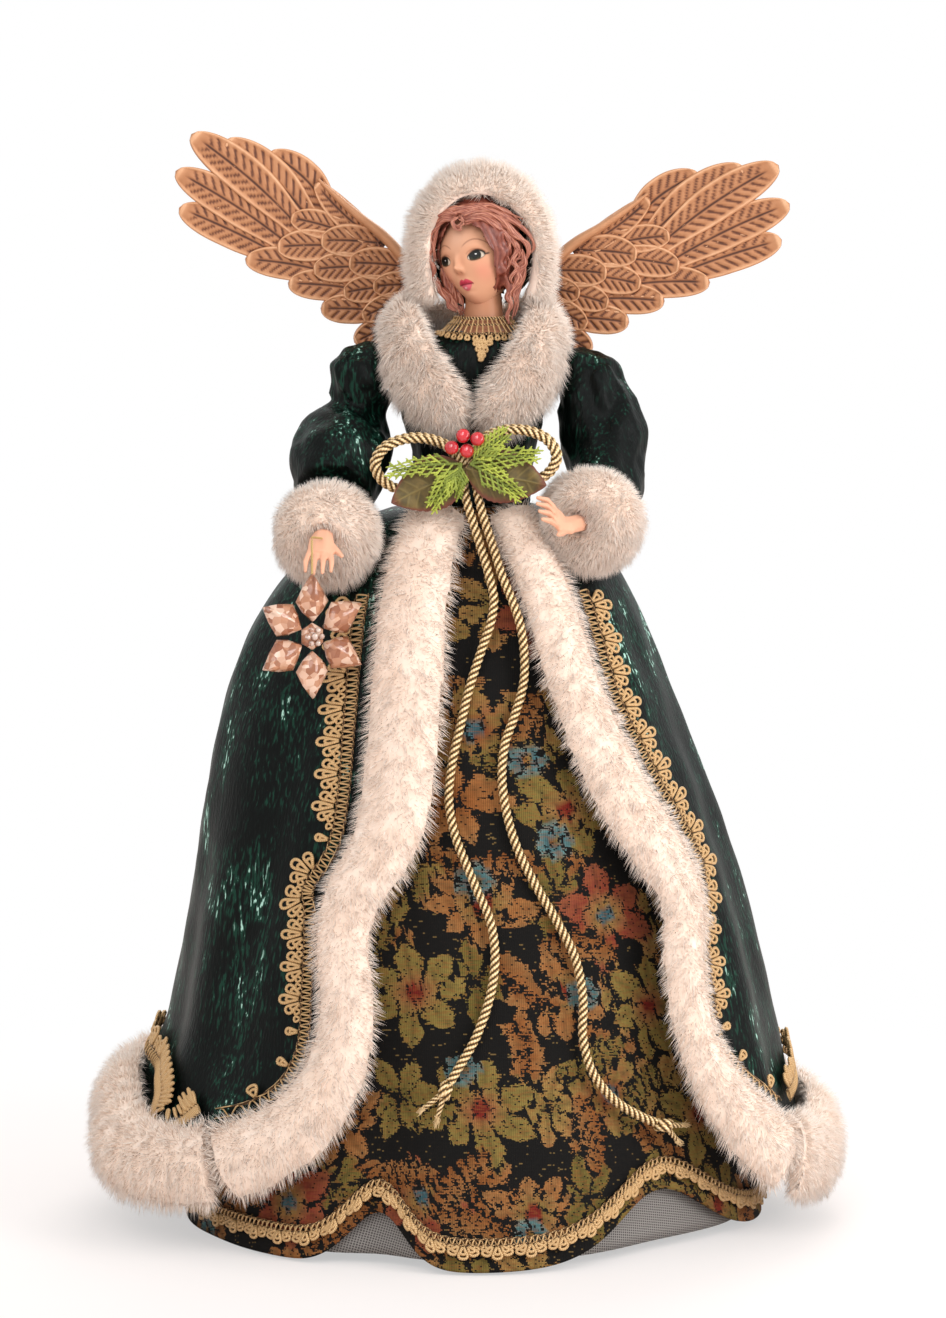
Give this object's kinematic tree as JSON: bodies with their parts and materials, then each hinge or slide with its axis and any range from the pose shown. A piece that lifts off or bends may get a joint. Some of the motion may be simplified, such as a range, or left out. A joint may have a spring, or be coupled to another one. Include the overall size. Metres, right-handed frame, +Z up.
{
  "type": "angel tree topper",
  "caption": "Standing angel figure on a hollow cone that drops over a tree's top shoot, with hooded fur-trimmed coat, feather wings, cord bow and a hanging snowflake.",
  "frame": {"origin": "middle of the bottom of the bounding box measured without the two loose cord tails; the bottom is the rim of the cone", "axes": "+Z up; the angel faces -Y; her right hand, which holds the snowflake, is at -X"},
  "size_m": [0.2856, 0.2452, 0.4092],
  "materials": {
    "card": "matte",
    "net": "stiff net",
    "tapestry": "jacquard weave",
    "velvet": "crushed velvet",
    "fur": "soft pile",
    "braid": "metallic gimp",
    "cord": "twisted metallic yarn",
    "skin": "painted satin",
    "hair": "painted satin",
    "wing": "antique gold paint",
    "wire": "plain",
    "foam": "plain",
    "berry": "high gloss",
    "leaf": "stiffened cloth",
    "sprig": "matte",
    "acrylic": "clear tinted"
  },
  "bodies": {
    "figure": {"base_cone": "card", "petticoat_net": "net", "tapestry_skirt": "tapestry", "coat_skirt": "velvet", "fur_front_right": "fur", "fur_front_left": "fur", "fur_hem": "fur", "braid_front_right": "braid", "braid_front_left": "braid", "braid_hem": "braid", "tapestry_hem_braid": "braid", "shoulder_wire": "wire", "torso_form": "foam", "head": "skin", "coat_bodice": "velvet", "hair": "hair", "neck_braid": "braid", "hood_fur": "fur", "hood_crown": "velvet", "fur_collar_right": "fur", "fur_collar_left": "fur", "wing_right": "wing", "wing_left": "wing", "wing_bracket": "card", "bow_knot": "cord", "bow_wire": "wire", "bow_loop_right": "cord", "bow_loop_left": "cord", "bow_tail_right": "cord", "tail_knot_right": "cord", "bow_tail_left": "cord", "tail_knot_left": "cord", "leaf_right": "leaf", "leaf_left": "leaf", "cedar_spray_right": "sprig", "cedar_spray_left": "sprig", "berry_1": "berry", "berry_2": "berry", "berry_3": "berry", "berry_4": "berry"},
    "right_arm": {"sleeve_right": "velvet", "cuff_fur_right": "fur", "hand_right": "skin", "arm_wire_right": "wire", "thread_loop": "cord"},
    "left_arm": {"sleeve_left": "velvet", "cuff_fur_left": "fur", "hand_left": "skin", "arm_wire_left": "wire"},
    "thread": {"hanging_thread": "cord"},
    "snowflake": {"snowflake_hub": "acrylic", "snowflake_petal_1": "acrylic", "snowflake_petal_2": "acrylic", "snowflake_petal_3": "acrylic", "snowflake_petal_4": "acrylic", "snowflake_petal_5": "acrylic", "snowflake_petal_6": "acrylic"}
  },
  "joints": [
    {"name": "right_arm_swing", "type": "hinge", "parent": "figure", "child": "right_arm", "pos_m": [-0.03097, -0.00552, 0.317], "axis": [0, 1, 0], "range_deg": [0, 15]},
    {"name": "left_arm_swing", "type": "hinge", "parent": "figure", "child": "left_arm", "pos_m": [0.03503, -0.00552, 0.317], "axis": [0, -1, 0], "range_deg": [0, 15]},
    {"name": "snowflake_swing", "type": "hinge", "parent": "right_arm", "child": "thread", "pos_m": [-0.05597, -0.07762, 0.26], "axis": [-1, 0, 0], "range_deg": [-1.5, 35]},
    {"name": "snowflake_twist", "type": "hinge", "parent": "thread", "child": "snowflake", "pos_m": [-0.05597, -0.07762, 0.225], "axis": [0, 0, 1], "range_deg": [-30, 30]}
  ]
}
